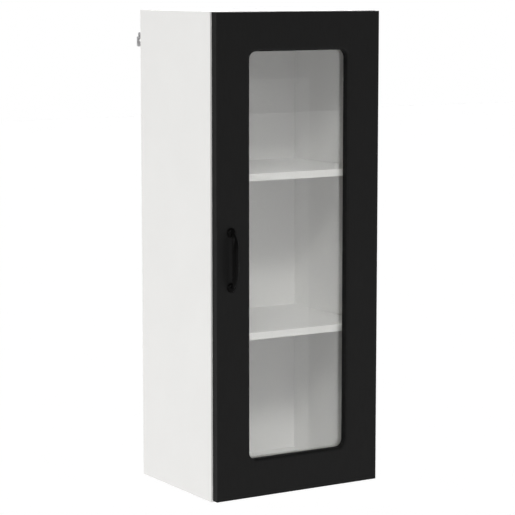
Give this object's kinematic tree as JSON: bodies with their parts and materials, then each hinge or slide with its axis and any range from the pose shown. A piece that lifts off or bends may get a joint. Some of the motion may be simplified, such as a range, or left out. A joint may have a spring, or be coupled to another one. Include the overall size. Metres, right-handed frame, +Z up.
{
  "type": "hanging wall cabinet",
  "caption": "Narrow white wall cabinet hung on two hooks, with fixed shelves and a black-framed glass door on cup hinges, opened by a bow handle.",
  "frame": {"origin": "middle of the line of wall screws, on the wall plane behind the cabinet", "axes": "+X to the hinge side (the right, seen from the front), +Y into the wall, +Z up"},
  "size_m": [0.4, 0.3485, 1],
  "materials": {
    "white_melamine": "satin",
    "white_hdf": "matte",
    "white_edge_band": "satin",
    "black_foil_board": "satin",
    "clear_glass": "polished",
    "black_handle": "satin",
    "beech": "matte",
    "zinc_plated_steel": "satin",
    "nickel_plated_steel": "polished",
    "cast_zinc": "matte",
    "white_plastic": "satin",
    "clear_plastic": "satin",
    "soft_buffer": "matte"
  },
  "bodies": {
    "carcass": {"side_panel_left": "white_melamine", "side_panel_right": "white_melamine", "top_panel": "white_melamine", "bottom_panel": "white_melamine", "back_panel": "white_hdf", "edge_bands": "white_edge_band", "back_panel_nails": "zinc_plated_steel", "dowels": "beech", "cam_bolts": "zinc_plated_steel", "cam_locks": "cast_zinc", "cam_caps": "white_plastic", "shelf_upper": "white_melamine", "shelf_lower": "white_melamine", "shelf_pins_upper": "zinc_plated_steel", "shelf_pins_lower": "zinc_plated_steel", "hanger_housing_left": "white_plastic", "hanger_housing_right": "white_plastic", "hanger_cap_left": "white_plastic", "hanger_cap_right": "white_plastic", "hanger_depth_screw_left": "zinc_plated_steel", "hanger_depth_screw_right": "zinc_plated_steel", "hanger_height_screw_left": "zinc_plated_steel", "hanger_height_screw_right": "zinc_plated_steel", "hanger_fixings": "zinc_plated_steel", "hinge_arm_upper": "nickel_plated_steel", "hinge_arm_middle": "nickel_plated_steel", "hinge_arm_lower": "nickel_plated_steel", "hinge_plate_upper": "nickel_plated_steel", "hinge_plate_middle": "nickel_plated_steel", "hinge_plate_lower": "nickel_plated_steel", "hinge_plate_screws": "zinc_plated_steel", "hinge_adjusting_screws": "zinc_plated_steel"},
    "door": {"door_frame": "black_foil_board", "glass_pane": "clear_glass", "glass_clips": "clear_plastic", "glass_clip_screws": "zinc_plated_steel", "handle": "black_handle", "handle_screws": "zinc_plated_steel", "door_bumpers": "soft_buffer", "hinge_cup_upper": "nickel_plated_steel", "hinge_cup_middle": "nickel_plated_steel", "hinge_cup_lower": "nickel_plated_steel", "hinge_pins": "nickel_plated_steel", "hinge_cup_screws": "zinc_plated_steel"},
    "hanger_left": {"hanger_hook_left": "zinc_plated_steel", "wall_plate_left": "zinc_plated_steel"},
    "hanger_right": {"hanger_hook_right": "zinc_plated_steel", "wall_plate_right": "zinc_plated_steel"}
  },
  "joints": [
    {"name": "door_swing", "type": "hinge", "parent": "carcass", "child": "door", "pos_m": [0.1894, -0.316, -0.435], "axis": [0, 0, 1], "range_deg": [0, 105]},
    {"name": "hanger_left_reach", "type": "slide", "parent": "carcass", "child": "hanger_left", "axis": [0, -1, 0], "range_m": [0, 0.007]},
    {"name": "hanger_right_reach", "type": "slide", "parent": "carcass", "child": "hanger_right", "axis": [0, -1, 0], "range_m": [0, 0.007]}
  ]
}
